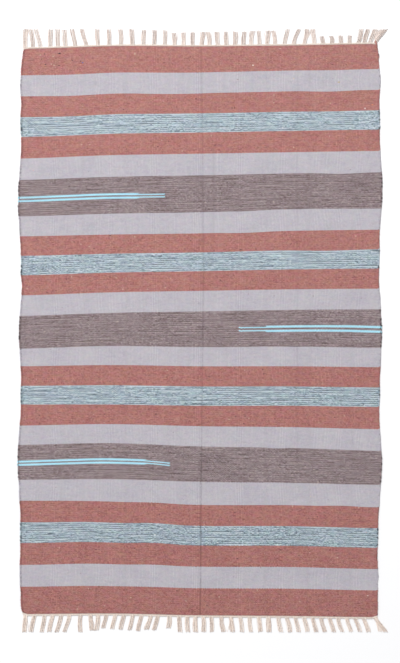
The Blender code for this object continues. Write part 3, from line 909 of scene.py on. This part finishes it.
SLUB_SHADES = {  # dark, middling and pale
    "dark": ((0.02, 0.012, 0.015), (0.05, 0.03, 0.038), (0.12, 0.08, 0.09)),
    "pale": ((0.48, 0.36, 0.33), (0.68, 0.56, 0.52), (0.85, 0.78, 0.74)),
    "orange": ((0.50, 0.14, 0.06), (0.68, 0.24, 0.12), (0.80, 0.38, 0.22)),
    "olive": ((0.24, 0.18, 0.06), (0.42, 0.34, 0.14), (0.6, 0.5, 0.28)),
    "blue": ((0.06, 0.08, 0.24), (0.12, 0.16, 0.38), (0.25, 0.3, 0.5)),
}
slub_materials = [
    cotton_material(f"slub_{name}", *shades, 1500, 0.1) for name, shades in SLUB_SHADES.items()
]
slubs = [  # each one's shade, the rib and the row that it is on, and its length and width in mm
    ("dark", 31.3, 565.5, 7.5, 4.4),
    ("dark", 19.4, 565.4, 5.5, 3.6),
    ("dark", 21.2, 555.2, 5.5, 3.4),
    ("dark", 42.0, 558.5, 4.5, 2.8),
    ("blue", 50.2, 556.0, 7.0, 3.8),
    ("pale", 193.5, 551.2, 6.0, 4.6),
    ("pale", 288.0, 505.2, 5.0, 4.0),
    ("pale", 291.5, 21.5, 4.5, 3.2),
    ("olive", 264.5, 533.1, 7.5, 3.0),
    ("orange", 294.0, 508.7, 7.0, 3.2),
]
SMALL_SLUBS, SMALL_LONG, SMALL_WIDE = 190, (1.6, 4), (1, 1.7)  # the least and the most, in mm
SLUB_HIGH = 1.2 * MM
SLUB_TONES = 3  # steps of tone to a row
chance = random.Random(23)
for _ in range(SMALL_SLUBS):
    shade = chance.choices(("dark", "pale", "orange"), (5, 3, 2))[0]
    rib, row = chance.uniform(5, RIBS - 5), chance.uniform(3, STRIPE_ROWS[-1] - 3)
    slubs.append((shade, rib, row, chance.uniform(*SMALL_LONG), chance.uniform(*SMALL_WIDE)))

bpy.ops.object.select_all(action="DESELECT")
bpy.ops.mesh.primitive_uv_sphere_add(segments=7, ring_count=5, radius=0.5)
edit_all()
bpy.ops.mesh.bisect(plane_co=(0, 0, -0.1), plane_no=(0, 0, 1), clear_inner=True, use_fill=True)
bpy.ops.transform.vertex_random(offset=0.06, seed=5)
tuft = take_seed()
shades, *columns = zip(*slubs)
on_rib, on_row, long, wide = (np.array(column)[:, None] for column in columns)
ribs = on_rib + tuft.x * long * MM / RIB_WIDE
rows = on_row + tuft.y * wide * MM / ROW
x, y = woven_place(ribs, rows)
z = top_height(ribs, rows) + RIB_HIGH / 2 + tuft.z * SLUB_HIGH
counts = (np.arange(len(slubs))[:, None] + 0.5, rows * SLUB_TONES)
shades = [list(SLUB_SHADES).index(shade) for shade in shades]
slub_piece = copies_of(tuft, "slubs", (x, y, z), counts, slub_materials, shades)
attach(slub_piece, "root")


# The heading cords. At each end two cords of pale cotton are twined over the warps to hold
# the last row, the one with its twist to the left and the other to the right.
PART_GAP = 0.3 * MM
CORD_WIDE, CORD_HIGH = 3.3 * MM, 4.4 * MM
CORD_PITCH = 10 * MM
CORD_SUNK = 1.2 * MM  # the two cords are beaten into each other by this much
CORD_UP = 0.2 * MM  # from the floor
CORD_TONES = 6  # steps of tone to a turn
ENDS = (1, "far"), (-1, "near")
PLY, PLY_OFF = 0.54, 0.23  # a ply's thickness, and its middle's distance from the cord's

cord_material = cotton_material(
    "heading_cotton", (0.64, 0.53, 0.46), (0.81, 0.715, 0.645), (0.9, 0.83, 0.77), 900, 0.15
)
cord_turns = round(2 * half_width(HALF_LONG).item() / CORD_PITCH)
for end, label in ENDS:
    for number, twist in enumerate((1, -1)):
        cord = spun_yarn(2, 2 * PLY, 2 * PLY_OFF, 8, cord_turns, 8, twist * end)
        share = cord.z[None, :] / cord_turns
        off = PART_GAP + CORD_WIDE / 2 + number * (CORD_WIDE - CORD_SUNK / 2)
        x, edge_y = floor_place(share * 2 - 1, end * HALF_LONG)
        y = edge_y + end * (off + cord.y * CORD_WIDE / 2)
        z = CORD_UP + (1 + cord.x) * CORD_HIGH / 2
        counts = (number * 7 + 0.5, cord.z * CORD_TONES + cord.x)
        name = f"heading_{label}_{number}"
        laid = copies_of(cord, name, (x, y, z), counts, [cord_material])
        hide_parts(f"fringe_{label}")
        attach(laid, "root")


# The tassels. The warp ends hang out of the heading in bunches of three soft two-ply
# strands, trimmed by hand. They lie on the floor as the rug was let down, fanned or bowed.
REACH = 1.001  # from the middle of the rug to the line where the tassels are trimmed
STRANDS = 3
STRAND_WIDE, STRAND_PITCH = 3.4 * MM, 4.1 * MM
HEADING_WIDE = 6.2 * MM
TASSEL_GAP = 1.5 * MM
TIP_UNEVEN = 2.5 * MM
ROOT_HIDDEN = 2.5 * MM  # how far a strand goes on inside the heading
ROOT_HIGH = 1.0 * MM  # how far its middle lies higher there than on the floor
SPREAD = 0.2 * MM, 0.9 * MM  # the least and the most that a bunch opens to each side
BOW = 2 * MM  # the most by which it bends to either side on its way

# Runs of tassels that hang alike: how many, and in mm the first and the last one's place
# along the heading and lean to the right, and how far their tips are short of the line.
RUNS = {
    1: (
        (3, -581, -531, 0, -15, 0, 0), (3, -498, -448, 2, -4, 0, 2),
        (2, -415, -378, -11, -15, 0, 0), (4, -340, -226, -2, -2, 0, 0),
        (3, -189, -118, 2, 1, 2, 4), (4, -86, 4, -3, 3, 12, 9), (5, 30, 143, -6, 3, 9, 8),
        (2, 169, 196, 4, -3, 5, 5), (2, 221, 248, 4, -6, 5, 5), (2, 279, 310, 11, 17, 0, 0),
        (2, 345, 378, 8, -5, 0, 0), (4, 407, 495, -4, 1, 23, 20), (3, 525, 564, 9, 15, 0, 0),
        (1, 581, 581, 34, 34, 0, 0),
    ),
    -1: (
        (2, -580, -551, -5, -11, 0, 0), (4, -518, -435, -9, -17, 0, 0),
        (1, -398, -398, 0, 0, 0, 0), (2, -365, -340, 5, -6, 5, 5),
        (5, -312, -196, -10, -11, 13, 3), (2, -165, -142, -14, -12, 8, 6),
        (1, -103, -103, -3, -3, 12, 12), (5, -70, 37, 3, 1, 0, 0), (6, 70, 226, 7, 3, 0, 0),
        (11, 259, 543, 9, 16, 0, 0), (1, 581, 581, 35, 35, 0, 0),
    ),
}  # fmt: skip
Tassel = namedtuple("Tassel", "root lean short bow spread")


def hang_tassels(end, chance):
    """Each tassel of one end in its place, none leaning into the one before it."""
    tassels, limit = [], -math.inf
    wide = (STRANDS - 1) * STRAND_PITCH + STRAND_WIDE
    for count, *ends in RUNS[end]:
        for root, lean, short in np.linspace(ends[::2], ends[1::2], count) * MM:
            spread = chance.uniform(*SPREAD)
            bow = chance.uniform(-BOW, BOW)
            tip_half = wide / 2 + spread
            tip = max(root + lean, limit + TASSEL_GAP + tip_half)
            limit = tip + tip_half
            tassels.append(Tassel(root, tip - root, short, bow, spread))
    return tassels


FAR_SHADED_COTTON = (0.48, 0.38, 0.34), (0.735, 0.64, 0.59), (0.81, 0.755, 0.71)  # painted shade: the near cotton made darker for the far end, where the light is stronger
NEAR_COTTON = (0.54, 0.43, 0.38), (0.83, 0.72, 0.645), (0.92, 0.845, 0.785)
tassel_materials = {
    1: cotton_material("tassel_cotton_far_shaded", *FAR_SHADED_COTTON, 1100, 0.2),
    -1: cotton_material("tassel_cotton_near", *NEAR_COTTON, 1100, 0.2),
}

# Loose warp ends and single fibres beside the strands soften each tassel. Some tassels were
# pulled out of their bunch and fan wide: more ends, and how far they lean from and to.
FLUFFED = 1.18  # how much wider a strand lies on the floor than it is spun
LOOSE_ENDS, FIBRES = 5, 12
END_WIDE, FIBRE_WIDE = 1.7 * MM, 0.6 * MM
LOOSE_LEAN, LOOSE_BOW = 1.6 * MM, 1.3 * MM  # as a rule, more or less than their tassel's
ENDS_UNEVEN = 3 * MM, 9 * MM  # the most by which every other one, and the rest, are shorter
FANS = {  # by the end, and the tassel's number from the left: ends, and leans in mm
    (1, 0): (14, -2, 13), (1, 15): (10, -3, 12), (1, 16): (10, -12, 7), (1, 18): (9, -4, 15),
    (1, 19): (9, -13, 8), (1, 20): (8, -9, 7), (1, 22): (8, -6, 11), (1, 24): (10, -5, 15),
    (1, 26): (12, -11, 13), (1, 27): (7, -11, 3), (1, 30): (14, 0, 25), (1, 31): (8, -15, 2),
    (1, 39): (40, -6, 31),
    (-1, 0): (14, -12, 6), (-1, 7): (7, 1, 15), (-1, 8): (7, -13, -2), (-1, 14): (9, -21, -4),
    (-1, 19): (7, -4, 11), (-1, 20): (7, -9, 4), (-1, 22): (7, 4, 18), (-1, 23): (7, -12, 2),
    (-1, 26): (9, -2, 15), (-1, 27): (7, -9, 6), (-1, 39): (30, 8, 34),
}  # fmt: skip
STIFF = 0.6  # share of its lean that a strand takes straight from the heading
SWELL, SWELL_TURN = 0.1, 7  # share of its width by which a strand swells, radians down it
RESTING = 1.02  # of half its thickness, how high its middle lies
STRAND_TONES, NEXT_TONE = 14, 3.7  # steps of tone down a strand, and from it to the next


def lay_strands(seed, name, strands, wide, chance, slim, material):
    """Lay a copy of a seed along each strand's path, resting on the floor."""
    root_x, root_y, end_y, root_line, tip_line, lean, bow, aside = np.array(strands).T[..., None]
    number = np.arange(len(strands))[:, None]
    share = seed.z / seed.z.max()
    y = root_y + (end_y - root_y) * share
    drop = np.clip((y - root_line) / (tip_line - root_line), 0, 1)
    waves = np.array([[chance.uniform(0, math.tau), chance.uniform(0.6, 1.4)] for _ in strands])
    swell = 1 + SWELL * np.sin(waves[:, :1] + share * SWELL_TURN * waves[:, 1:])
    half = wide / 2 * swell * (1 - slim * share)
    leaned = lean * (STIFF * drop + (1 - STIFF) * eased(drop))
    x = root_x + leaned + bow * np.sin(math.pi * drop) + aside * drop + seed.x * half
    z = half * (RESTING + seed.y) + ROOT_HIGH * (1 - share) ** 2
    counts = (number + 0.5, share * STRAND_TONES + number * NEXT_TONE, share)
    return copies_of(seed, name, (x, y, z), counts, [material])


strand_seed = spun_yarn(2, 2 * PLY, 2 * PLY_OFF, 5, 3, 6, 1)
end_seed = spun_yarn(1, 2.0, 0.0, 5, 2, 5, 0)
fibre_seed = spun_yarn(1, 2.0, 0.0, 3, 2, 5, 0)
for end, label in ENDS:
    chance, loose = random.Random(40 + end), random.Random(50 + end)
    strands, ends, fibres = [], [], []
    drift, wide = lie_at(end * HALF_LONG)[DRIFT], half_width(end * HALF_LONG).item()
    for number, tassel in enumerate(hang_tassels(end, chance)):
        places = tassel.root + (np.arange(STRANDS) - 1) * STRAND_PITCH * FLUFFED
        _, edge_y = floor_place((places - drift) / wide, end * HALF_LONG)
        root_y = edge_y + end * (PART_GAP + HEADING_WIDE)
        line, tip_y = root_y.mean(), end * (REACH - tassel.short)
        for k, (place_x, start_y) in enumerate(zip(places, root_y)):
            start_y -= end * ROOT_HIDDEN
            end_y = tip_y - end * chance.uniform(0, TIP_UNEVEN)
            hang = (tassel.lean, tassel.bow, tassel.spread * (k - 1))
            strands.append((place_x, start_y, end_y, line, tip_y, *hang))
        fan_ends, lean_from, lean_to = FANS.get((end, number), (0, 0, 0))
        for k in range(LOOSE_ENDS + FIBRES + fan_ends):
            fanned = k - LOOSE_ENDS - FIBRES
            lean = tassel.lean + loose.gauss(0, LOOSE_LEAN)
            aside = loose.uniform(-1, 1) * (STRAND_PITCH + STRAND_WIDE / 2) * FLUFFED
            if fanned >= 0:
                lean = MM * (lean_from + (lean_to - lean_from) * (fanned + 0.5) / fan_ends)
                aside /= 2
            end_y = tip_y - end * loose.uniform(0, ENDS_UNEVEN[k % 2])
            bow = tassel.bow + loose.gauss(0, LOOSE_BOW)
            start_y = line - end * ROOT_HIDDEN
            row = (tassel.root + aside, start_y, end_y, line, tip_y, lean, bow, 0)
            (ends if fanned >= 0 or k < LOOSE_ENDS else fibres).append(row)
    for seed, name, hanging, width, slim in (
        (strand_seed, "tassels", strands, STRAND_WIDE * FLUFFED, 0.0),
        (end_seed, "loose_ends", ends, END_WIDE, 0.4),
        (fibre_seed, "fibres", fibres, FIBRE_WIDE, 0.5),
    ):
        name, cotton = f"{name}_{label}", tassel_materials[end]
        laid = lay_strands(seed, name, hanging, width, loose, slim, cotton)
        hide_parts(f"fringe_{label}")
        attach(laid, "root")


# A pale studio floor, with soft light from a big window-like source up and to the left.
FLOOR_WIDE, FLOOR_DROP = 14, 0.5 * MM  # the floor lies clear of the rug's underside
PALE_FLOOR = {"Base Color": (0.83, 0.83, 0.84, 1), "Roughness": 0.95, "Specular IOR Level": 0.1}
bpy.ops.object.select_all(action="DESELECT")
bpy.ops.mesh.primitive_plane_add(size=FLOOR_WIDE, location=(0, 0, -FLOOR_DROP))
floor = bpy.context.object
floor.name = "floor"
floor.data.materials.append(new_material("pale_floor", PALE_FLOOR)[0])
floor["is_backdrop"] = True

scene = bpy.context.scene
scene.view_settings.view_transform = "Standard"
world = bpy.data.worlds.new("studio")
world.use_nodes = True
sky = world.node_tree.nodes["Background"].inputs
sky["Color"].default_value = (1.0, 1.0, 1.0, 1)
sky["Strength"].default_value = 0.6
scene.world = world

bpy.ops.object.light_add(type="AREA", location=(-3.0, 5.0, 8.0))
window = bpy.context.object
window.name = "window_light"
window.data.shape = "SQUARE"
window.data.size = 3.5
window.data.energy = 900
window.rotation_euler = window.location.to_track_quat("Z", "Y").to_euler()

CAMERA_OFF, CAMERA_HIGH = (-0.9 * MM, -3.3 * MM), 6.114  # from over the cloth's middle
camera_place = (RUG_X + CAMERA_OFF[0], RUG_Y + CAMERA_OFF[1], CAMERA_HIGH)
bpy.ops.object.camera_add(location=camera_place, rotation=(0, 0, 0))
camera = bpy.context.object
camera.name = "overhead_camera"
camera.data.lens = 100
camera.data.sensor_width = 36
camera.data.clip_end = 60
scene.camera = camera

visual_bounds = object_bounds()
sizes = {"cad": [list(corner) for corner in cad_bounds]}
sizes["visual"] = [list(corner) for corner in visual_bounds]
